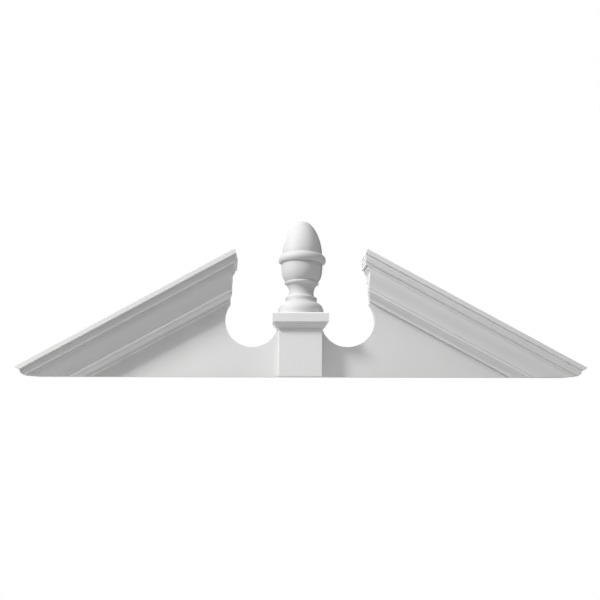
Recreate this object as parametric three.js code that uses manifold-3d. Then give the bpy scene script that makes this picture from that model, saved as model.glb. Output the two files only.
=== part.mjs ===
// A broken classical pediment for the head of a door: a tympanum board with two round bites, a raking
// cornice on each side that returns to the wall at both its ends, and between them a pedestal block with a
// moulded cap and a half-round acorn finial.
//
// Millimetres, +Z up. X runs along the pediment and -Y is its front. The soffit lies at z = 0, and the
// origin is at the middle of the soffit, half way between the wall plane and the face of the fascia.

import * as THREE from "three";
import { mergeVertices } from "three/addons/utils/BufferGeometryUtils.js";
import Module from "manifold-3d";

// The whole piece
const overallWidth = 1524;
const overallDepth = 82;
const pitch = THREE.MathUtils.degToRad(28.3);
const tipHeight = 23.5; // the fascia's outer corner above the soffit
const jointGap = 0.3; // the glue line between two pieces

// The tympanum board
const boardThickness = 20;
const boardLap = 60; // how far below the raking edge the board stops, measured square to the rake
const biteX = 133;
const biteHeight = 159;
const biteRadius = 75;

// The raking cornice. Each depth is measured out from the wall, and each drop down from the raking edge,
// square to it.
const fasciaDepth = overallDepth;
const fasciaDrop = 11.3;
const bandDepth = 77;
const bandDrop = 20;
const ovoloTopDepth = 75.5;
const ovoloFootDepth = 69;
const ovoloDrop = 28.7;
const cymaFilletDepth = 66;
const cymaFilletDrop = 34.5;
const cymaTopDepth = 64;
const cymaFootDepth = 48;
const cymaDrop = 80;
const cymaSwing = 18; // how far the curve leaves each end along the face
const quirkDepth = 46;
const quirkDrop = 81.8;
const ogeeFilletDepth = 48.6;
const ogeeFilletDrop = 88;
const ogeeTopDepth = 45.5;
const ogeeFootDepth = 31;
const ogeeDrop = 103;
const corniceDrop = 106;

// The inner return of the cornice, as distances from the middle of the pediment
const fasciaTopX = 176.5;
const fasciaFootX = 172.6;
const membersX = 174;
const cymaFilletX = 175;
const cymaTopX = 180.3;
const cymaWaistX = 187.8;
const cymaWaistDrop = 21; // from the top of the cyma down to where its hollow ends
const cymaFootX = 187.4;
const quirkX = 189;
const ogeeFilletX = 187.2;
const ogeeTopX = 188.5;
const ogeeFootX = 192.5;
const returnFootX = 193.6;

// The outer return, as steps in from the outer tip
const outerFasciaStep = 10;
const outerBandTopStep = 12;
const outerBandStep = 14;
const outerOvoloStep = 20;
const outerFootStep = 29;

// The pedestal block and its cap
const blockHalfWidth = 59.1;
const blockDepth = 56;
const blockHeight = 130.7;
const capHeight = 172;
const capProjection = 16.4;
const capFilletStep = 4; // how far the lower two members stand out from the block
const capBandStep = 8;
const capHollowStep = 5; // how far the hollow under the fascia starts back from it
const capFilletHeight = 4.3; // the heights of the members above the underside of the cap
const capBandHeight = 7.8;
const capFasciaFoot = 16.2;
const capBevel = 2.2;

// The finial: a radius and a height above the soffit for each change of shape
const finialFoot = capHeight + jointGap;
const finialTop = 438.6;
const finialLean = THREE.MathUtils.degToRad(1.15); // to the right, as seen from the front
const finialShift = 4;
const footRadius = 63.3;
const footEdge = 183;
const bulgeTopRadius = 50.5;
const bulgeTop = 206.5;
const grooveRadius = 48;
const grooveTop = 208;
const baseRingRadius = 43.8;
const baseRingFoot = 214;
const baseRingTop = 222.5;
const neckFootRadius = 40.5;
const neckFoot = 223.5;
const neckRadius = 34.4;
const neckHeight = 238;
const bowlFootRadius = 42.5;
const smallRingFoot = 258.5;
const smallRingBulge = 6.5; // the handles that swell the small ring
const smallRingTopRadius = 45.2;
const smallRingTop = 266.5;
const bowlRadius = 57.6;
const bowlSideHeight = 303; // where the bowl's side is upright
const cupRingFoot = 316.5;
const cupRingSwell = 69.5; // the handles that swell the ring of the cup
const cupRingTop = 341.5;
const nutRadius = 55.7;
const nutWaist = 348;
const nutTipRadius = 12;
const nutTipFoot = 436;
const sawAllowance = 3; // turned below the cap and sawn off level once the finial leans

const wallY = overallDepth / 2;
const halfWidth = overallWidth / 2;
const finialSegments = 64;

const wasm = await Module();
wasm.setup();

// The height of the raking edge at a distance from the middle of the pediment.
function rakeHeight(x) {
  return tipHeight + (halfWidth - x) * Math.tan(pitch);
}

// The height of a line of the cornice that lies a drop below the raking edge.
function lineHeight(x, drop) {
  return rakeHeight(x) - drop / Math.cos(pitch);
}

// A closed geometry as a solid that can be joined or cut.
function solidOf(geometry) {
  const bare = geometry.clone();
  bare.deleteAttribute("normal");
  bare.deleteAttribute("uv");
  const merged = mergeVertices(bare, 1e-3);
  const mesh = new wasm.Mesh({
    numProp: 3,
    vertProperties: merged.attributes.position.array,
    triVerts: new Uint32Array(merged.index.array),
  });
  return new wasm.Manifold(mesh);
}

// A solid back as a geometry for a mesh.
function geometryOf(solid) {
  const mesh = solid.getMesh();
  const geometry = new THREE.BufferGeometry();
  geometry.setAttribute("position", new THREE.BufferAttribute(mesh.vertProperties, 3));
  geometry.setIndex(new THREE.BufferAttribute(mesh.triVerts, 1));
  const facets = geometry.toNonIndexed();
  facets.computeVertexNormals();
  return facets;
}

// The same geometry on the other side of the middle, its faces turned to point out again.
function mirrored(geometry) {
  const other = geometry.clone().scale(-1, 1, 1);
  const position = other.attributes.position;
  const second = new THREE.Vector3();
  const third = new THREE.Vector3();
  for (let i = 0; i < position.count; i += 3) {
    second.fromBufferAttribute(position, i + 1);
    third.fromBufferAttribute(position, i + 2);
    position.setXYZ(i + 1, third.x, third.y, third.z);
    position.setXYZ(i + 2, second.x, second.y, second.z);
  }
  other.computeVertexNormals();
  return other;
}

// A front-view outline in x and z, given a depth from one distance off the wall to another.
function frontPrism(outline, nearWall, faceDepth) {
  const options = { depth: faceDepth - nearWall, bevelEnabled: false, curveSegments: 24 };
  const geometry = new THREE.ExtrudeGeometry(outline, options);
  return geometry.translate(0, 0, nearWall).rotateX(Math.PI / 2).translate(0, wallY, 0);
}

// The cornice's outline as seen from the front: the raking edge on top, and the two returns.
function corniceOutline() {
  const outline = new THREE.Shape();
  outline.moveTo(fasciaTopX, rakeHeight(fasciaTopX));
  outline.lineTo(fasciaFootX, lineHeight(fasciaFootX, fasciaDrop));
  outline.lineTo(membersX, lineHeight(membersX, fasciaDrop));
  outline.lineTo(membersX, lineHeight(membersX, bandDrop));
  outline.lineTo(membersX + 1, lineHeight(membersX, bandDrop));
  const ovoloFoot = lineHeight(membersX, ovoloDrop);
  outline.quadraticCurveTo(membersX - 0.5, ovoloFoot + 2, membersX + 1.6, ovoloFoot);
  const cymaTop = lineHeight(cymaFilletX, cymaFilletDrop);
  outline.lineTo(cymaFilletX, cymaTop);
  outline.lineTo(cymaTopX, cymaTop);
  outline.bezierCurveTo(
    cymaTopX, cymaTop - cymaWaistDrop / 2,
    cymaWaistX, cymaTop - cymaWaistDrop / 2,
    cymaWaistX, cymaTop - cymaWaistDrop,
  );
  outline.lineTo(cymaFootX, lineHeight(cymaFootX, cymaDrop));
  outline.lineTo(quirkX, lineHeight(cymaFootX, cymaDrop));
  outline.lineTo(quirkX, lineHeight(cymaFootX, quirkDrop));
  outline.lineTo(ogeeFilletX, lineHeight(cymaFootX, quirkDrop));
  const ogeeTop = lineHeight(ogeeFilletX, ogeeFilletDrop);
  const ogeeFoot = lineHeight(ogeeFootX, ogeeDrop);
  outline.lineTo(ogeeFilletX, ogeeTop);
  outline.lineTo(ogeeTopX, ogeeTop);
  outline.bezierCurveTo(
    ogeeTopX, (ogeeTop + ogeeFoot) / 2,
    ogeeFootX - 1, (ogeeTop + ogeeFoot) / 2,
    ogeeFootX, ogeeFoot,
  );
  outline.lineTo(returnFootX, ogeeFoot);
  outline.lineTo(returnFootX, 0);
  const tipX = halfWidth;
  outline.lineTo(tipX - outerFootStep, 0);
  outline.lineTo(tipX - outerOvoloStep, lineHeight(tipX - outerOvoloStep, ovoloDrop));
  outline.lineTo(tipX - outerBandStep, lineHeight(tipX - outerBandStep, bandDrop));
  outline.lineTo(tipX - outerBandTopStep, lineHeight(tipX - outerBandTopStep, fasciaDrop + 1));
  outline.lineTo(tipX - outerFasciaStep, lineHeight(tipX - outerFasciaStep, fasciaDrop));
  outline.lineTo(tipX, tipHeight);
  outline.closePath();
  return outline;
}

// The section of the raking moulding: depth off the wall to the right, drop below the raking edge down.
// Its back is rebated over the board.
function corniceSection() {
  const section = new THREE.Shape();
  section.moveTo(0, 0);
  section.lineTo(0, -(boardLap - jointGap));
  section.lineTo(boardThickness + jointGap, -(boardLap - jointGap));
  section.lineTo(boardThickness + jointGap, -corniceDrop);
  section.lineTo(ogeeFootDepth, -corniceDrop);
  section.lineTo(ogeeFootDepth, -ogeeDrop);
  const ogeeMiddle = (ogeeFilletDrop + ogeeDrop) / 2;
  section.bezierCurveTo(
    ogeeFootDepth + 1, -ogeeMiddle,
    ogeeTopDepth - 1, -ogeeMiddle,
    ogeeTopDepth, -ogeeFilletDrop,
  );
  section.lineTo(ogeeFilletDepth, -ogeeFilletDrop);
  section.lineTo(ogeeFilletDepth, -quirkDrop);
  section.lineTo(quirkDepth, -quirkDrop);
  section.lineTo(quirkDepth, -cymaDrop);
  section.lineTo(cymaFootDepth, -cymaDrop);
  section.bezierCurveTo(
    cymaFootDepth, -(cymaDrop - cymaSwing),
    cymaTopDepth, -(cymaFilletDrop + cymaSwing),
    cymaTopDepth, -cymaFilletDrop,
  );
  section.lineTo(cymaFilletDepth, -cymaFilletDrop);
  section.lineTo(cymaFilletDepth, -ovoloDrop);
  section.lineTo(ovoloFootDepth, -ovoloDrop);
  section.quadraticCurveTo(ovoloTopDepth, -(ovoloDrop - 1), ovoloTopDepth, -bandDrop);
  section.lineTo(bandDepth, -bandDrop);
  section.lineTo(bandDepth, -fasciaDrop);
  section.lineTo(fasciaDepth, -fasciaDrop);
  section.lineTo(fasciaDepth, 0);
  section.closePath();
  return section;
}

// The right-hand cornice: the moulding run up the rake and cut to its outline, which returns every member
// to the wall at both ends.
function rakingCornice() {
  const spare = 40;
  const length = (halfWidth - fasciaFootX) / Math.cos(pitch) + 2 * spare;
  const options = { depth: length, bevelEnabled: false, curveSegments: 10 };
  const run = new THREE.ExtrudeGeometry(corniceSection(), options);
  const outward = new THREE.Vector3(0, -1, 0);
  const above = new THREE.Vector3(Math.sin(pitch), 0, Math.cos(pitch));
  const upRake = new THREE.Vector3(-Math.cos(pitch), 0, Math.sin(pitch));
  const place = new THREE.Matrix4().makeBasis(outward, above, upRake);
  place.setPosition(
    halfWidth - spare * upRake.x,
    wallY,
    tipHeight - spare * upRake.z,
  );
  run.applyMatrix4(place);
  const returns = frontPrism(corniceOutline(), -1, overallDepth + 1);
  return geometryOf(solidOf(run).intersect(solidOf(returns)));
}

// The tympanum board: one board from tip to tip, cut away between the cornices by the two bites.
function tympanumBoard() {
  const outline = new THREE.Shape();
  const footX = halfWidth - outerFootStep;
  const edgeX = halfWidth - (boardLap / Math.cos(pitch) - tipHeight) / Math.tan(pitch);
  const shoulderX = returnFootX;
  const neckAngle = Math.asin((blockHeight - biteHeight) / biteRadius);
  const neckX = biteX - biteRadius * Math.cos(neckAngle);
  const shoulderAngle = Math.acos((shoulderX - biteX) / biteRadius);
  outline.moveTo(-Math.min(footX, edgeX), 0);
  outline.lineTo(Math.min(footX, edgeX), 0);
  outline.lineTo(shoulderX, lineHeight(shoulderX, boardLap));
  outline.absarc(biteX, biteHeight, biteRadius, shoulderAngle, Math.PI - neckAngle, true);
  outline.lineTo(neckX, blockHeight);
  outline.lineTo(-neckX, blockHeight);
  outline.absarc(-biteX, biteHeight, biteRadius, neckAngle, Math.PI - shoulderAngle, true);
  outline.lineTo(-shoulderX, lineHeight(shoulderX, boardLap));
  outline.closePath();
  return frontPrism(outline, 0, boardThickness);
}

// The pedestal block stands in front of the board.
function pedestalBlock() {
  const outline = new THREE.Shape();
  outline.moveTo(-blockHalfWidth, 0);
  outline.lineTo(blockHalfWidth, 0);
  outline.lineTo(blockHalfWidth, blockHeight);
  outline.lineTo(-blockHalfWidth, blockHeight);
  outline.closePath();
  return frontPrism(outline, boardThickness + jointGap, blockDepth);
}

// One side of the cap's moulding, from its underside up: how far it stands out, and at which height.
function capSection(reach) {
  const foot = blockHeight + jointGap;
  return [
    [reach + capFilletStep, foot],
    [reach + capFilletStep, foot + capFilletHeight],
    [reach + capBandStep, foot + capFilletHeight],
    [reach + capBandStep, foot + capBandHeight],
    [reach + capProjection - capHollowStep, foot + capBandHeight],
    [reach + capProjection - 3.6, foot + capFasciaFoot - 4],
    [reach + capProjection - 1.4, foot + capFasciaFoot],
    [reach + capProjection, foot + capFasciaFoot],
    [reach + capProjection, capHeight - capBevel],
    [reach + capProjection - capBevel, capHeight],
  ];
}

// The cap on the block: its moulding runs across the front and returns along both sides to the wall.
function pedestalCap() {
  const across = new THREE.Shape();
  const half = capSection(blockHalfWidth);
  half.forEach(([x, z]) => across.lineTo(x, z));
  [...half].reverse().forEach(([x, z]) => across.lineTo(-x, z));
  across.closePath();
  const front = frontPrism(across, 0, blockDepth + capProjection + 1);
  const side = new THREE.Shape();
  side.moveTo(0, blockHeight + jointGap);
  capSection(blockDepth).forEach(([depth, z]) => side.lineTo(depth, z));
  side.lineTo(0, capHeight);
  side.closePath();
  const reach = 2 * (blockHalfWidth + capProjection + 1);
  const run = new THREE.ExtrudeGeometry(side, { depth: reach, bevelEnabled: false });
  // Turned so that depth off the wall points to the front and the run goes from left to right.
  run.applyMatrix4(
    new THREE.Matrix4().makeBasis(
      new THREE.Vector3(0, -1, 0),
      new THREE.Vector3(0, 0, 1),
      new THREE.Vector3(-1, 0, 0),
    ),
  );
  run.translate(reach / 2, wallY, 0);
  return geometryOf(solidOf(front).intersect(solidOf(run)));
}

// The finial's outline from its foot to its tip, radius to the right and height up.
function finialProfile() {
  const path = new THREE.Path();
  path.moveTo(0, finialFoot - sawAllowance);
  path.lineTo(footRadius, finialFoot - sawAllowance);
  path.lineTo(footRadius, footEdge);
  path.bezierCurveTo(
    footRadius, footEdge + 11,
    bulgeTopRadius + 7, bulgeTop - 4,
    bulgeTopRadius, bulgeTop,
  );
  path.lineTo(grooveRadius, bulgeTop);
  path.lineTo(grooveRadius, grooveTop);
  path.quadraticCurveTo(baseRingRadius, grooveTop + 2, baseRingRadius, baseRingFoot);
  path.lineTo(baseRingRadius, baseRingTop);
  path.lineTo(neckFootRadius, neckFoot);
  path.bezierCurveTo(
    neckFootRadius - 4, neckFoot + 2.5,
    neckRadius, neckHeight - 7,
    neckRadius, neckHeight,
  );
  path.bezierCurveTo(
    neckRadius, neckHeight + 8,
    bowlFootRadius - 5, smallRingFoot - 6,
    bowlFootRadius, smallRingFoot,
  );
  path.bezierCurveTo(
    bowlFootRadius + smallRingBulge, smallRingFoot,
    bowlFootRadius + smallRingBulge, smallRingTop,
    smallRingTopRadius, smallRingTop,
  );
  path.bezierCurveTo(
    smallRingTopRadius + 7, smallRingTop + 8,
    bowlRadius - 0.5, bowlSideHeight - 18,
    bowlRadius - 0.3, bowlSideHeight,
  );
  path.lineTo(bowlRadius, cupRingFoot);
  path.bezierCurveTo(
    cupRingSwell, cupRingFoot + 0.5,
    cupRingSwell, cupRingTop - 3.5,
    nutRadius - 0.1, cupRingTop,
  );
  path.lineTo(nutRadius, nutWaist);
  path.bezierCurveTo(
    nutRadius - 1.4, nutWaist + 29,
    nutTipRadius + 26, nutTipFoot - 13,
    nutTipRadius, nutTipFoot,
  );
  path.quadraticCurveTo(nutTipRadius / 2, finialTop, 0, finialTop);
  return path.getPoints(9).map((p) => new THREE.Vector2(Math.max(p.x, 0), p.y));
}

// The acorn finial: a turned shape with its back half cut off flat, which stands on the cap.
function acornFinial() {
  const turned = new THREE.LatheGeometry(finialProfile(), finialSegments);
  turned.rotateX(Math.PI / 2);
  turned.translate(0, wallY, -finialFoot);
  turned.rotateY(finialLean);
  turned.translate(finialShift, 0, finialFoot);
  const span = 3 * footRadius;
  const outline = new THREE.Shape();
  outline.moveTo(-span, finialFoot);
  outline.lineTo(span, finialFoot);
  outline.lineTo(span, finialTop + span);
  outline.lineTo(-span, finialTop + span);
  outline.closePath();
  const inFrontOfWall = frontPrism(outline, 0, span);
  return geometryOf(solidOf(turned).intersect(solidOf(inFrontOfWall)));
}

function whitePaint() {
  return new THREE.MeshStandardMaterial({ color: 0xe9e9e7, roughness: 0.6, metalness: 0 });
}

function piece(name, geometry) {
  const mesh = new THREE.Mesh(geometry, whitePaint());
  mesh.name = name;
  return mesh;
}

const rightCornice = rakingCornice();
const group = new THREE.Group();
group.add(
  piece("tympanum_board", tympanumBoard()),
  piece("raking_cornice_left", mirrored(rightCornice)),
  piece("raking_cornice_right", rightCornice),
  piece("pedestal_block", pedestalBlock()),
  piece("pedestal_cap", pedestalCap()),
  piece("acorn_finial", acornFinial()),
);

export default group;
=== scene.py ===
import math

import bpy
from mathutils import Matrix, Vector


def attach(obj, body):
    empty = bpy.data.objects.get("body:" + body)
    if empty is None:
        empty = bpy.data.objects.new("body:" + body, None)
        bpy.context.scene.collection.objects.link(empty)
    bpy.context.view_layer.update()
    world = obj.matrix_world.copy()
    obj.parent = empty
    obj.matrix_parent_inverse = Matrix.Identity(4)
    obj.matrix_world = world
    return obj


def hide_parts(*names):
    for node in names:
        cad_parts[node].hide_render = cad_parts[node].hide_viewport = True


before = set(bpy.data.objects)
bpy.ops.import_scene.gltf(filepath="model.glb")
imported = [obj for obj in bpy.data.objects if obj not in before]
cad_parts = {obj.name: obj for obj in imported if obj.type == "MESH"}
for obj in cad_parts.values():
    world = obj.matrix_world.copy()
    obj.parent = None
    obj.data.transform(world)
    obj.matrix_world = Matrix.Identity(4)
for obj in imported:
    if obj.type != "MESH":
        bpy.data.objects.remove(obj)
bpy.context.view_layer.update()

# The viewpoint. The picture looks straight at the wall from about a metre and a half away, from just left
# of the middle and a hand's breadth below the soffit, so the undersides of the mouldings show.
WALL_Y = 0.041
VIEW_DISTANCE = 1.463  # from the camera to the wall plane
VIEW_X = -0.0764
VIEW_Z = -0.069
FOCAL_LENGTH = 31.2
PICTURE_ROLL = math.radians(-0.13)

camera_data = bpy.data.cameras.new("viewpoint")
camera_data.lens = FOCAL_LENGTH
camera_data.sensor_width = 36
camera_data.shift_x = 0.0466
camera_data.shift_y = 0.17
camera = bpy.data.objects.new("viewpoint", camera_data)
camera.location = (VIEW_X, WALL_Y - VIEW_DISTANCE, VIEW_Z)
camera.rotation_euler = (math.radians(90), PICTURE_ROLL, 0)
bpy.context.scene.collection.objects.link(camera)
bpy.context.scene.camera = camera


# The tympanum board. One flat board, moulded in rigid foam 20 mm thick, runs behind everything from tip
# to tip. Its top edges are glued into a rebate of the cornices, and two round bites are cut from it beside
# the pedestal.
HALF_WIDTH = 0.762
PITCH = math.radians(28.3)
TIP_HEIGHT = 0.0235
BOARD_THICKNESS = 0.020
BOARD_LAP = 0.060  # how far below the raking edge the board stops
JOINT_GAP = 0.0003
BITE_X = 0.133
BITE_HEIGHT = 0.159
BITE_RADIUS = 0.075
BLOCK_HEIGHT = 0.1307
RETURN_FOOT_X = 0.1936
MERGE_DISTANCE = 0.00002
BOARD_EASE = 0.0007  # how wide its arrises are rounded
BOARD_TONE = 0.83
GRAIN_SCALE = 420
FLAT_GRAIN = 0.00025  # the depth of the grain on a plain face


def line_height(x, drop):
    """The height of a raking line that runs a drop below the raking edge, measured square to it."""
    return TIP_HEIGHT + (HALF_WIDTH - x) * math.tan(PITCH) - drop / math.cos(PITCH)


def arc(centre, radius, start, end, step=math.radians(2.5)):
    """Points along a round stretch of an outline, both ends included."""
    count = max(2, round(abs(end - start) / step))
    turns = [start + (end - start) * i / count for i in range(count + 1)]
    return [(centre[0] + radius * math.cos(t), centre[1] + radius * math.sin(t)) for t in turns]


def curve(start, lean_out, lean_in, end, count=14):
    """Points along a curved member between two arrises, without the first point."""
    points = []
    for i in range(1, count + 1):
        t = i / count
        weights = ((1 - t) ** 3, 3 * t * (1 - t) ** 2, 3 * t * t * (1 - t), t ** 3)
        corners = (start, lean_out, lean_in, end)
        points.append(tuple(sum(w * c[k] for w, c in zip(weights, corners)) for k in (0, 1)))
    return points


def draw_outline(name, corners, filled=True):
    """Extrudes one corner from point to point along an outline, and fills it with a face if it is closed."""
    bpy.ops.object.select_all(action="DESELECT")
    bpy.ops.mesh.primitive_plane_add(size=0.001, location=corners[0])
    drawn = bpy.context.object
    drawn.name = drawn.data.name = name
    bpy.ops.object.transform_apply(location=True, rotation=True, scale=True)
    bpy.ops.object.mode_set(mode="EDIT")
    bpy.ops.mesh.select_mode(type="VERT")
    bpy.ops.mesh.select_all(action="SELECT")
    bpy.ops.mesh.merge(type="CENTER")
    for here, there in zip(corners, corners[1:]):
        step = Vector(there) - Vector(here)
        bpy.ops.mesh.extrude_vertices_move(TRANSFORM_OT_translate={"value": step})
    bpy.ops.mesh.select_all(action="SELECT")
    if filled:
        bpy.ops.mesh.edge_face_add()
    return drawn


def push_out(drawn, run):
    """Extrudes the drawn outline along a run into a closed solid."""
    bpy.ops.mesh.select_all(action="SELECT")
    bpy.ops.mesh.extrude_region_move(TRANSFORM_OT_translate={"value": run})
    bpy.ops.mesh.select_all(action="SELECT")
    bpy.ops.mesh.remove_doubles(threshold=MERGE_DISTANCE)
    bpy.ops.mesh.normals_make_consistent(inside=False)
    bpy.ops.object.mode_set(mode="OBJECT")
    return drawn


def on_front(points, depth=0.0):
    """Points of a front view, x and z, placed a depth off the wall."""
    return [(x, WALL_Y - depth, z) for x, z in points]


def pick(piece):
    """Makes one piece the only selected and active one."""
    bpy.ops.object.select_all(action="DESELECT")
    piece.select_set(True)
    bpy.context.view_layer.objects.active = piece


def ease_arrises(piece, width, segments=2, sharp=math.radians(24)):
    """Rounds every arris a little, as paint and moulding do, and keeps the broad faces flat in the light."""
    pick(piece)
    bevel = piece.modifiers.new("eased", "BEVEL")
    bevel.width = width
    bevel.segments = segments
    bevel.limit_method = "ANGLE"
    bevel.angle_limit = sharp
    bpy.ops.object.modifier_apply(modifier="eased")
    bpy.ops.object.shade_smooth_by_angle(angle=math.radians(32))
    flat = piece.modifiers.new("flat_faces", "WEIGHTED_NORMAL")
    flat.keep_sharp = True
    bpy.ops.object.modifier_apply(modifier="flat_faces")


# Its brightness argument is the primer's own on the board and cornices; on the block and cap it also carries
# painted light, and on the finial painted shade.
def white_primer(name, tone_and_painted_light, grain_depth, run_turn=None):
    """Matt white primer on a moulded foam skin: a slight mottle, a fine grain, and lines along a run."""
    paint = bpy.data.materials.new(name)
    paint.use_nodes = True
    nodes, links = paint.node_tree.nodes, paint.node_tree.links
    shader = nodes["Principled BSDF"]
    shader.inputs["Specular IOR Level"].default_value = 0.35
    place = nodes.new("ShaderNodeTexCoord")

    mottle = nodes.new("ShaderNodeTexNoise")
    mottle.inputs["Scale"].default_value = 9
    mottle.inputs["Detail"].default_value = 4
    links.new(place.outputs["Object"], mottle.inputs["Vector"])
    tint = nodes.new("ShaderNodeValToRGB")
    tint.color_ramp.elements[0].position = 0.3
    tint.color_ramp.elements[0].color = (tone_and_painted_light * 0.97, tone_and_painted_light * 0.97, tone_and_painted_light * 0.965, 1)
    tint.color_ramp.elements[1].position = 0.72
    tint.color_ramp.elements[1].color = (tone_and_painted_light, tone_and_painted_light, tone_and_painted_light * 0.995, 1)
    links.new(mottle.outputs["Fac"], tint.inputs["Fac"])
    links.new(tint.outputs["Color"], shader.inputs["Base Color"])

    gloss = nodes.new("ShaderNodeMapRange")
    gloss.inputs["To Min"].default_value = 0.52
    gloss.inputs["To Max"].default_value = 0.66
    links.new(mottle.outputs["Fac"], gloss.inputs["Value"])
    links.new(gloss.outputs["Result"], shader.inputs["Roughness"])

    grain = nodes.new("ShaderNodeTexNoise")
    grain.inputs["Scale"].default_value = GRAIN_SCALE
    grain.inputs["Detail"].default_value = 3
    links.new(place.outputs["Object"], grain.inputs["Vector"])
    relief = nodes.new("ShaderNodeBump")
    relief.inputs["Strength"].default_value = 0.22
    relief.inputs["Distance"].default_value = grain_depth
    links.new(grain.outputs["Fac"], relief.inputs["Height"])
    links.new(relief.outputs["Normal"], shader.inputs["Normal"])

    if run_turn:
        along = nodes.new("ShaderNodeMapping")
        along.inputs["Rotation"].default_value = (0, run_turn, 0)
        along.inputs["Scale"].default_value = (2, 900, 900)
        links.new(place.outputs["Object"], along.inputs["Vector"])
        lines = nodes.new("ShaderNodeTexNoise")
        lines.inputs["Scale"].default_value = 1
        links.new(along.outputs["Vector"], lines.inputs["Vector"])
        drawn = nodes.new("ShaderNodeBump")
        drawn.inputs["Strength"].default_value = 0.12
        drawn.inputs["Distance"].default_value = 0.0001
        links.new(lines.outputs["Fac"], drawn.inputs["Height"])
        links.new(relief.outputs["Normal"], drawn.inputs["Normal"])
        links.new(drawn.outputs["Normal"], shader.inputs["Normal"])
    return paint


def fit(piece, node, paint):
    """Paints a finished piece and puts it in the place of its CAD node."""
    piece.data.materials.clear()
    piece.data.materials.append(paint)
    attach(piece, "root")
    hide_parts(node)


edge_x = HALF_WIDTH - (BOARD_LAP / math.cos(PITCH) - TIP_HEIGHT) / math.tan(PITCH)
neck_angle = math.asin((BLOCK_HEIGHT - BITE_HEIGHT) / BITE_RADIUS)
shoulder_angle = math.acos((RETURN_FOOT_X - BITE_X) / BITE_RADIUS)
right_half = [(edge_x, 0), (RETURN_FOOT_X, line_height(RETURN_FOOT_X, BOARD_LAP))]
right_half += arc((BITE_X, BITE_HEIGHT), BITE_RADIUS, shoulder_angle, -math.pi - neck_angle)
left_half = [(-x, z) for x, z in reversed(right_half)]

board = draw_outline("board", on_front(right_half + left_half))
push_out(board, (0, -BOARD_THICKNESS, 0))
ease_arrises(board, BOARD_EASE)
fit(board, "tympanum_board", white_primer("primer_on_board", BOARD_TONE, FLAT_GRAIN))


# The raking cornices. Each is one run of moulded foam, glued over the board's edge: a square fascia, two
# small members, a broad cyma and an ogee under it. It returns to the wall at both ends, so its section
# shows again in outline.
FASCIA_DEPTH = 0.082
FASCIA_DROP = 0.0113
BAND_DEPTH = 0.077
BAND_DROP = 0.020
OVOLO_TOP_DEPTH = 0.0755
OVOLO_FOOT_DEPTH = 0.069
OVOLO_DROP = 0.0287
OVOLO_TUCK = 0.0022  # how far its curve leaves the foot inwards and upwards, and the top downwards
OVOLO_LIFT = 0.0007
OVOLO_SWING = 0.0035
CYMA_FILLET_DEPTH = 0.066
CYMA_FILLET_DROP = 0.0345
CYMA_TOP_DEPTH = 0.064
CYMA_FOOT_DEPTH = 0.048
CYMA_DROP = 0.080
CYMA_SWING = 0.018  # how far the curve leaves each end along the face
QUIRK_DEPTH = 0.046
QUIRK_DROP = 0.0818
OGEE_FILLET_DEPTH = 0.0486
OGEE_FILLET_DROP = 0.088
OGEE_TOP_DEPTH = 0.0455
OGEE_FOOT_DEPTH = 0.031
OGEE_DROP = 0.103
OGEE_LEAN = 0.001
CORNICE_DROP = 0.106
RUN_END_X = 0.17
RUN_SPARE = 0.04  # how much longer the run is made at each end, before the returns are cut
CORNICE_EASE = 0.0006
MOULDED_GRAIN = 0.0002

cyma_foot = (CYMA_FOOT_DEPTH, CYMA_DROP)
cyma_top = (CYMA_TOP_DEPTH, CYMA_FILLET_DROP)
lower_swing = (CYMA_FOOT_DEPTH, CYMA_DROP - CYMA_SWING)
upper_swing = (CYMA_TOP_DEPTH, CYMA_FILLET_DROP + CYMA_SWING)
ogee_foot = (OGEE_FOOT_DEPTH, OGEE_DROP)
ogee_top = (OGEE_TOP_DEPTH, OGEE_FILLET_DROP)
ogee_middle = (OGEE_FILLET_DROP + OGEE_DROP) / 2
ogee_lower = (OGEE_FOOT_DEPTH + OGEE_LEAN, ogee_middle)
ogee_upper = (OGEE_TOP_DEPTH - OGEE_LEAN, ogee_middle)
ovolo_foot = (OVOLO_FOOT_DEPTH, OVOLO_DROP)
ovolo_top = (OVOLO_TOP_DEPTH, BAND_DROP)
ovolo_lower = (OVOLO_TOP_DEPTH - OVOLO_TUCK, OVOLO_DROP - OVOLO_LIFT)
ovolo_upper = (OVOLO_TOP_DEPTH, OVOLO_DROP - OVOLO_SWING)

# Depth off the wall and drop below the raking edge, from the back round the front to the top.
section = [(0, 0), (0, BOARD_LAP - JOINT_GAP)]
section += [(BOARD_THICKNESS + JOINT_GAP, BOARD_LAP - JOINT_GAP)]
section += [(BOARD_THICKNESS + JOINT_GAP, CORNICE_DROP), (OGEE_FOOT_DEPTH, CORNICE_DROP), ogee_foot]
section += curve(ogee_foot, ogee_lower, ogee_upper, ogee_top)
section += [(OGEE_FILLET_DEPTH, OGEE_FILLET_DROP), (OGEE_FILLET_DEPTH, QUIRK_DROP)]
section += [(QUIRK_DEPTH, QUIRK_DROP), (QUIRK_DEPTH, CYMA_DROP), cyma_foot]
section += curve(cyma_foot, lower_swing, upper_swing, cyma_top, 20)
section += [(CYMA_FILLET_DEPTH, CYMA_FILLET_DROP), (CYMA_FILLET_DEPTH, OVOLO_DROP), ovolo_foot]
section += curve(ovolo_foot, ovolo_lower, ovolo_upper, ovolo_top, 8)
section += [(BAND_DEPTH, BAND_DROP), (BAND_DEPTH, FASCIA_DROP)]
section += [(FASCIA_DEPTH, FASCIA_DROP), (FASCIA_DEPTH, 0)]

up_rake = Vector((-math.cos(PITCH), 0, math.sin(PITCH)))
down_face = Vector((-math.sin(PITCH), 0, -math.cos(PITCH)))
run_start = Vector((HALF_WIDTH, WALL_Y, TIP_HEIGHT)) - RUN_SPARE * up_rake
corners = [run_start + drop * down_face + Vector((0, -depth, 0)) for depth, drop in section]
run_length = (HALF_WIDTH - RUN_END_X) / math.cos(PITCH) + 2 * RUN_SPARE
cornice_right = draw_outline("cornice_right", corners)
push_out(cornice_right, up_rake * run_length)

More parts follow.
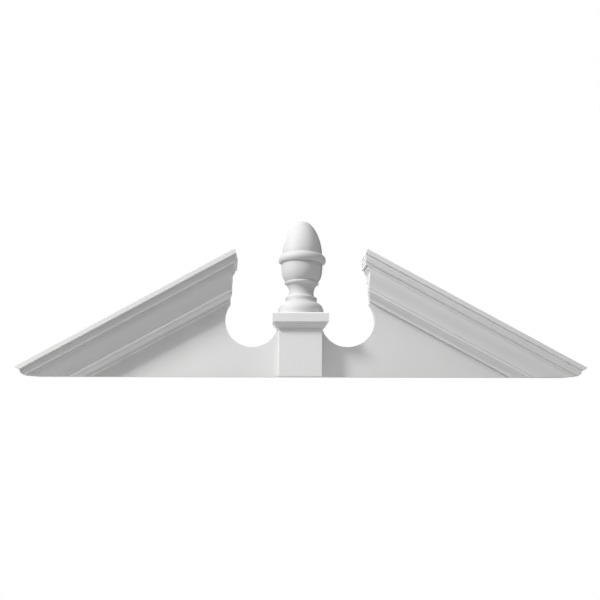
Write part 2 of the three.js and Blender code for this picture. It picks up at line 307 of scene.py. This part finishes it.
# Where each member's return stands, from the middle of the pediment. The steps and lifts shape the curve
# of the lower of the two small members.
FASCIA_TOP_X = 0.1765
FASCIA_FOOT_X = 0.1726
MEMBERS_X = 0.174
MEMBER_SPLIT_STEP = 0.001
MEMBER_FOOT_STEP = 0.0016
MEMBER_HANDLE_STEP = 0.0002
MEMBER_LOWER_LIFT = 0.0013
MEMBER_UPPER_LIFT = 0.0041
CYMA_FILLET_X = 0.175
CYMA_TOP_X = 0.1803
CYMA_WAIST_X = 0.1878
CYMA_WAIST_DROP = 0.021  # from the top of the cyma down to where its hollow ends
CYMA_FOOT_X = 0.1874
QUIRK_X = 0.189
OGEE_FILLET_X = 0.1872
OGEE_TOP_X = 0.1885
OGEE_FOOT_X = 0.1925

member_foot = (MEMBERS_X + MEMBER_FOOT_STEP, line_height(MEMBERS_X, OVOLO_DROP))
member_split = (MEMBERS_X + MEMBER_SPLIT_STEP, line_height(MEMBERS_X, BAND_DROP))
member_upper = (MEMBERS_X, member_foot[1] + MEMBER_UPPER_LIFT)
member_lower = (MEMBERS_X + MEMBER_HANDLE_STEP, member_foot[1] + MEMBER_LOWER_LIFT)
cyma_start = line_height(CYMA_FILLET_X, CYMA_FILLET_DROP)
cyma_half = cyma_start - CYMA_WAIST_DROP / 2
cyma_top_corner = (CYMA_TOP_X, cyma_start)
cyma_waist = (CYMA_WAIST_X, cyma_start - CYMA_WAIST_DROP)
cyma_end = line_height(CYMA_FOOT_X, CYMA_DROP)
quirk_end = line_height(CYMA_FOOT_X, QUIRK_DROP)
ogee_start = (OGEE_TOP_X, line_height(OGEE_FILLET_X, OGEE_FILLET_DROP))
ogee_end = (OGEE_FOOT_X, line_height(OGEE_FOOT_X, OGEE_DROP))
ogee_half = (ogee_start[1] + ogee_end[1]) / 2

# The inner return from the raking edge down. The step under the fascia lies a hair off the run's own arris
# here and on the outer return, because a cut that falls right on it leaves slivers.
HAIR = 0.0003
returns = [(FASCIA_TOP_X, line_height(FASCIA_TOP_X, 0))]
returns += [(FASCIA_FOOT_X, line_height(FASCIA_FOOT_X, FASCIA_DROP + HAIR))]
returns += [(MEMBERS_X, line_height(MEMBERS_X, FASCIA_DROP + HAIR))]
returns += [(MEMBERS_X, member_split[1]), member_split]
returns += curve(member_split, member_upper, member_lower, member_foot, 6)
returns += [(CYMA_FILLET_X, cyma_start), cyma_top_corner]
returns += curve(cyma_top_corner, (CYMA_TOP_X, cyma_half), (CYMA_WAIST_X, cyma_half), cyma_waist, 18)
returns += [(CYMA_FOOT_X, cyma_end), (QUIRK_X, cyma_end)]
returns += [(QUIRK_X, quirk_end), (OGEE_FILLET_X, quirk_end)]
returns += [(OGEE_FILLET_X, ogee_start[1]), ogee_start]
returns += curve(ogee_start, (OGEE_TOP_X, ogee_half), (OGEE_FOOT_X - OGEE_LEAN, ogee_half), ogee_end)
returns += [(RETURN_FOOT_X, ogee_end[1]), (RETURN_FOOT_X, 0)]

# The outer return from the soffit up: how far each step stands in from the tip, and at which drop.
OUTER_FOOT_STEP = 0.029
OUTER_BAND_LAP = 0.001
OUTER_STEPS = (
    (0.020, OVOLO_DROP),
    (0.014, BAND_DROP),
    (0.012, FASCIA_DROP + OUTER_BAND_LAP),
    (0.010, FASCIA_DROP - HAIR),
)

returns += [(HALF_WIDTH - OUTER_FOOT_STEP, 0)]
returns += [(HALF_WIDTH - step, line_height(HALF_WIDTH - step, drop)) for step, drop in OUTER_STEPS]
returns += [(HALF_WIDTH, TIP_HEIGHT)]

CUT_ALLOWANCE = 0.001  # how far a cutter reaches past the piece that it cuts
SLIVER_LENGTH = 0.0001
FLAT_ANGLE = math.radians(0.2)

cutter = draw_outline("returns", on_front(returns, -CUT_ALLOWANCE))
push_out(cutter, (0, -FASCIA_DEPTH - 2 * CUT_ALLOWANCE, 0))


def keep_common(piece, other):
    """Cuts a piece to what lies inside another solid too, which is then thrown away."""
    pick(piece)
    cut = piece.modifiers.new("cut", "BOOLEAN")
    cut.operation = "INTERSECT"
    cut.solver = "EXACT"
    cut.object = other
    bpy.ops.object.modifier_apply(modifier="cut")
    bpy.data.objects.remove(other, do_unlink=True)
    bpy.ops.object.mode_set(mode="EDIT")
    bpy.ops.mesh.select_all(action="SELECT")
    bpy.ops.mesh.remove_doubles(threshold=SLIVER_LENGTH)
    bpy.ops.mesh.dissolve_limited(angle_limit=FLAT_ANGLE)
    bpy.ops.mesh.normals_make_consistent(inside=False)
    bpy.ops.object.mode_set(mode="OBJECT")


keep_common(cornice_right, cutter)
bpy.ops.object.duplicate()
cornice_left = bpy.context.object
cornice_left.name = cornice_left.data.name = "cornice_left"
bpy.ops.object.mode_set(mode="EDIT")
bpy.ops.mesh.select_all(action="SELECT")
bpy.ops.transform.resize(value=(-1, 1, 1), center_override=(0, 0, 0))
bpy.ops.mesh.normals_make_consistent(inside=False)
bpy.ops.object.mode_set(mode="OBJECT")
ease_arrises(cornice_right, CORNICE_EASE)
ease_arrises(cornice_left, CORNICE_EASE)

right_primer = white_primer("primer_on_right_run", BOARD_TONE, MOULDED_GRAIN, PITCH)
left_primer = white_primer("primer_on_left_run", BOARD_TONE, MOULDED_GRAIN, -PITCH)
fit(cornice_right, "raking_cornice_right", right_primer)
fit(cornice_left, "raking_cornice_left", left_primer)


# The pedestal block. A plain square-edged block of the same foam is glued to the face of the board, on
# the soffit line, and carries the cap; its edges are eased a little more than the mouldings'.
BLOCK_HALF_WIDTH = 0.0591
BLOCK_DEPTH = 0.056
BLOCK_EASE = 0.0012
# The block and cap get a lighter primer than the board's: painted light that brightens their lit fronts.
BLOCK_TONE_WITH_PAINTED_LIGHT = 0.90

block_front = [(-BLOCK_HALF_WIDTH, 0), (BLOCK_HALF_WIDTH, 0)]
block_front += [(BLOCK_HALF_WIDTH, BLOCK_HEIGHT), (-BLOCK_HALF_WIDTH, BLOCK_HEIGHT)]
pedestal = draw_outline("pedestal", on_front(block_front, BOARD_THICKNESS + JOINT_GAP))
push_out(pedestal, (0, BOARD_THICKNESS + JOINT_GAP - BLOCK_DEPTH, 0))
ease_arrises(pedestal, BLOCK_EASE, segments=3)
fit(pedestal, "pedestal_block", white_primer("primer_with_painted_light_on_block", BLOCK_TONE_WITH_PAINTED_LIGHT, FLAT_GRAIN))


# The pedestal cap. A deep fascia of moulded foam on three small stepped members, mitred at the front
# corners, run back to the wall on both sides and glued on the block. The top edge has a narrow chamfer
# that catches the light.
CAP_HEIGHT = 0.172
CAP_FOOT = BLOCK_HEIGHT + JOINT_GAP
CAP_PROJECTION = 0.0164
CAP_FILLET_STEP = 0.004  # how far the lower two members stand out from the block
CAP_BAND_STEP = 0.008
CAP_HOLLOW_STEP = 0.005  # how far the hollow's foot, its curve and its top lie back from the fascia
CAP_HOLLOW_SWING_STEP = 0.0036
CAP_HOLLOW_TOP_STEP = 0.0014
CAP_FILLET_HEIGHT = 0.0043  # the heights of the members above the cap's underside
CAP_BAND_HEIGHT = 0.0078
CAP_HOLLOW_LOWER = 0.0118
CAP_HOLLOW_UPPER = 0.0137
CAP_FASCIA_FOOT = 0.0162
CAP_BEVEL = 0.0022
CAP_SIDE_SPARE = 0.005
CAP_CUTTER_DEPTH = 0.1
CAP_EASE = 0.0005

# How far each member stands out from the block, and its height above the cap's underside.
cap_members = [(CAP_FILLET_STEP, 0), (CAP_FILLET_STEP, CAP_FILLET_HEIGHT)]
cap_members += [(CAP_BAND_STEP, CAP_FILLET_HEIGHT), (CAP_BAND_STEP, CAP_BAND_HEIGHT)]
hollow_foot = (CAP_PROJECTION - CAP_HOLLOW_STEP, CAP_BAND_HEIGHT)
hollow_top = (CAP_PROJECTION - CAP_HOLLOW_TOP_STEP, CAP_FASCIA_FOOT)
hollow_lower = (CAP_PROJECTION - CAP_HOLLOW_STEP, CAP_HOLLOW_LOWER)
hollow_upper = (CAP_PROJECTION - CAP_HOLLOW_SWING_STEP, CAP_HOLLOW_UPPER)
cap_members += [hollow_foot]
cap_members += curve(hollow_foot, hollow_lower, hollow_upper, hollow_top, 6)
cap_members += [(CAP_PROJECTION, CAP_FASCIA_FOOT)]
cap_top = CAP_HEIGHT - CAP_FOOT
cap_members += [(CAP_PROJECTION, cap_top - CAP_BEVEL), (CAP_PROJECTION - CAP_BEVEL, cap_top)]

side_view = [(0, 0)] + [(BLOCK_DEPTH + out, up) for out, up in cap_members] + [(0, cap_top)]
cap_reach = BLOCK_HALF_WIDTH + CAP_PROJECTION + CAP_SIDE_SPARE
cap = draw_outline("cap", [(-cap_reach, WALL_Y - depth, CAP_FOOT + up) for depth, up in side_view])
push_out(cap, (2 * cap_reach, 0, 0))
right_side = [(BLOCK_HALF_WIDTH + out, CAP_FOOT + up) for out, up in cap_members]
left_side = [(-x, z) for x, z in reversed(right_side)]
cap_front = draw_outline("cap_front", on_front(right_side + left_side, -CUT_ALLOWANCE))
push_out(cap_front, (0, -CAP_CUTTER_DEPTH, 0))
keep_common(cap, cap_front)
ease_arrises(cap, CAP_EASE)
# The cap takes the block's lighter primer, which is painted light on its fascia.
fit(cap, "pedestal_cap", white_primer("primer_with_painted_light_on_cap", BLOCK_TONE_WITH_PAINTED_LIGHT, MOULDED_GRAIN))


# The acorn finial. A half-round foam casting of a turned shape, flat against the wall and glued on the
# cap: a smooth nut in a cup with a bead at its rim, on a waisted stem and a bell-shaped foot. It stands a
# little out of plumb.
FINIAL_FOOT = CAP_HEIGHT + JOINT_GAP
FINIAL_TOP = 0.4386
FINIAL_LEAN = math.radians(1.15)
FINIAL_SHIFT = 0.004
SAW_ALLOWANCE = 0.003
SPIN_STEPS = 96
FINIAL_EASE = 0.0004
# The finial gets a darker primer than the board's: painted shade that darkens the whole finial to deepen its
# shaded side.
FINIAL_TONE_WITH_PAINTED_SHADE = 0.67

# Radii and heights above the soffit that several points of the outline share.
FOOT_RADIUS = 0.0633
BULGE_TOP = 0.2065
GROOVE_RADIUS = 0.048
BASE_RING_RADIUS = 0.0438
NECK_RADIUS = 0.0344
SMALL_RING_SWELL = 0.049
SMALL_RING_FOOT = 0.2585
SMALL_RING_TOP = 0.2665
CUP_RING_SWELL = 0.0695

# A radius and a height for each change of shape, from the foot to the tip.
foot_corner = (FOOT_RADIUS, FINIAL_FOOT - SAW_ALLOWANCE)
foot_edge = (FOOT_RADIUS, 0.183)
bulge_top = (0.0505, BULGE_TOP)
groove_foot = (GROOVE_RADIUS, BULGE_TOP)
groove_top = (GROOVE_RADIUS, 0.208)
base_ring_foot = (BASE_RING_RADIUS, 0.214)
base_ring_top = (BASE_RING_RADIUS, 0.2225)
neck_foot = (0.0405, 0.2235)
neck = (NECK_RADIUS, 0.238)
small_ring_foot = (0.0425, SMALL_RING_FOOT)
small_ring_top = (0.0452, SMALL_RING_TOP)
small_ring_lower = (SMALL_RING_SWELL, SMALL_RING_FOOT)
small_ring_upper = (SMALL_RING_SWELL, SMALL_RING_TOP)
bowl_side = (0.0573, 0.303)
cup_ring_foot = (0.0576, 0.3165)
cup_ring_top = (0.0556, 0.3415)
nut_waist = (0.0557, 0.348)
nut_shoulder = (0.012, 0.436)
nut_tip = (0, FINIAL_TOP)

turned = [(0, FINIAL_FOOT - SAW_ALLOWANCE), foot_corner, foot_edge]
turned += curve(foot_edge, (FOOT_RADIUS, 0.194), (0.0575, 0.2025), bulge_top, 16)
turned += [groove_foot, groove_top]
turned += curve(groove_top, (0.0452, 0.2093), (BASE_RING_RADIUS, 0.2113), base_ring_foot, 8)
turned += [base_ring_top, neck_foot]
turned += curve(neck_foot, (0.0365, 0.226), (NECK_RADIUS, 0.231), neck)
turned += curve(neck, (NECK_RADIUS, 0.246), (0.0375, 0.2525), small_ring_foot)
turned += curve(small_ring_foot, small_ring_lower, small_ring_upper, small_ring_top, 10)
turned += curve(small_ring_top, (0.0522, 0.2745), (0.0571, 0.285), bowl_side, 20)
turned += [cup_ring_foot]
turned += curve(cup_ring_foot, (CUP_RING_SWELL, 0.317), (CUP_RING_SWELL, 0.338), cup_ring_top, 16)
turned += [nut_waist]
turned += curve(nut_waist, (0.0543, 0.377), (0.038, 0.423), nut_shoulder, 36)
turned += curve(nut_shoulder, (0.008, 0.4379), (0.004, FINIAL_TOP), nut_tip, 6)

finial = draw_outline("finial", [(r, WALL_Y, z) for r, z in turned], filled=False)
bpy.ops.mesh.spin(steps=SPIN_STEPS, angle=math.pi, center=(0, WALL_Y, 0), axis=(0, 0, 1))
bpy.ops.mesh.select_all(action="SELECT")
bpy.ops.mesh.remove_doubles(threshold=MERGE_DISTANCE)
# What is still open is the flat back, in the wall plane.
bpy.ops.mesh.select_all(action="DESELECT")
bpy.ops.mesh.select_non_manifold()
bpy.ops.mesh.edge_face_add()
bpy.ops.mesh.select_all(action="SELECT")
bpy.ops.mesh.normals_make_consistent(inside=False)
bpy.ops.transform.rotate(
    value=-FINIAL_LEAN, orient_axis="Y", orient_type="GLOBAL", center_override=(0, WALL_Y, FINIAL_FOOT),
)
bpy.ops.transform.translate(value=(FINIAL_SHIFT, 0, 0))
# The foot is sawn level, so that the leaning finial still stands flat on the cap.
bpy.ops.mesh.bisect(plane_co=(0, 0, FINIAL_FOOT), plane_no=(0, 0, 1), clear_inner=True, use_fill=True)
bpy.ops.object.mode_set(mode="OBJECT")
ease_arrises(finial, FINIAL_EASE)
# The finial's darker primer is painted shade.
fit(finial, "acorn_finial", white_primer("primer_with_painted_shade_on_finial", FINIAL_TONE_WITH_PAINTED_SHADE, MOULDED_GRAIN))


# The studio. A pale floor lies well below the piece, which hangs at eye level before a white backdrop. One
# key light stands well round to the left and throws the long shade of the left cornice on the board; a weak
# lamp lies low on the right, and two broad ones hang overhead and behind.
AIM_HEIGHT = 0.12
LAMPS = (
    # name, degrees to the left of the front, degrees above level, distance, size, watts
    ("key", 64, 38, 3.2, 0.6, 101),
    ("low_right", -35, -10, 3.2, 0.7, 9),
    ("overhead", 0, 65, 3.6, 3.0, 54),
    ("behind", 180, 35, 3.2, 2.5, 60),
)
FILL_STRENGTH = 0.07
FLOOR_LEVEL = -0.9
FLOOR_SIZE = 30
FLOOR_TONE = 0.6
WHITE = (1, 1, 1, 1)


def show_white(tree, lit, white, output):
    """Shows plain white to the camera, while all other rays meet the lit surface."""
    ray = tree.nodes.new("ShaderNodeLightPath")
    either = tree.nodes.new("ShaderNodeMixShader")
    tree.links.new(ray.outputs["Is Camera Ray"], either.inputs["Fac"])
    tree.links.new(lit.outputs[0], either.inputs[1])
    tree.links.new(white.outputs[0], either.inputs[2])
    tree.links.new(either.outputs["Shader"], output.inputs["Surface"])


bpy.ops.object.select_all(action="DESELECT")
bpy.ops.mesh.primitive_plane_add(size=FLOOR_SIZE, location=(0, 0, FLOOR_LEVEL))
floor = bpy.context.object
floor.name = "floor"
floor_paint = bpy.data.materials.new("pale_floor")
floor_paint.use_nodes = True
floor_tree = floor_paint.node_tree
floor_coat = floor_tree.nodes["Principled BSDF"]
floor_coat.inputs["Base Color"].default_value = (FLOOR_TONE, FLOOR_TONE, FLOOR_TONE, 1)
floor_coat.inputs["Roughness"].default_value = 0.9
glow = floor_tree.nodes.new("ShaderNodeEmission")
glow.inputs["Color"].default_value = WHITE
show_white(floor_tree, floor_coat, glow, floor_tree.nodes["Material Output"])
floor.data.materials.append(floor_paint)

for name, left, above, distance, size, power in LAMPS:
    lamp_data = bpy.data.lights.new(name, "AREA")
    lamp_data.shape = "DISK"
    lamp_data.size = size
    lamp_data.energy = power
    lamp = bpy.data.objects.new(name, lamp_data)
    turn, rise = math.radians(left), math.radians(above)
    level = math.cos(rise)
    towards = Vector((-math.sin(turn) * level, -math.cos(turn) * level, math.sin(rise)))
    lamp.location = Vector((0, 0, AIM_HEIGHT)) + distance * towards
    lamp.rotation_euler = towards.to_track_quat("Z", "Y").to_euler()
    bpy.context.scene.collection.objects.link(lamp)

studio = bpy.data.worlds.new("studio")
studio.use_nodes = True
studio_tree = studio.node_tree
fill = studio_tree.nodes["Background"]
fill.inputs["Color"].default_value = WHITE
fill.inputs["Strength"].default_value = FILL_STRENGTH
backdrop = studio_tree.nodes.new("ShaderNodeBackground")
backdrop.inputs["Color"].default_value = WHITE
show_white(studio_tree, fill, backdrop, studio_tree.nodes["World Output"])
bpy.context.scene.world = studio
bpy.context.scene.view_settings.view_transform = "Standard"
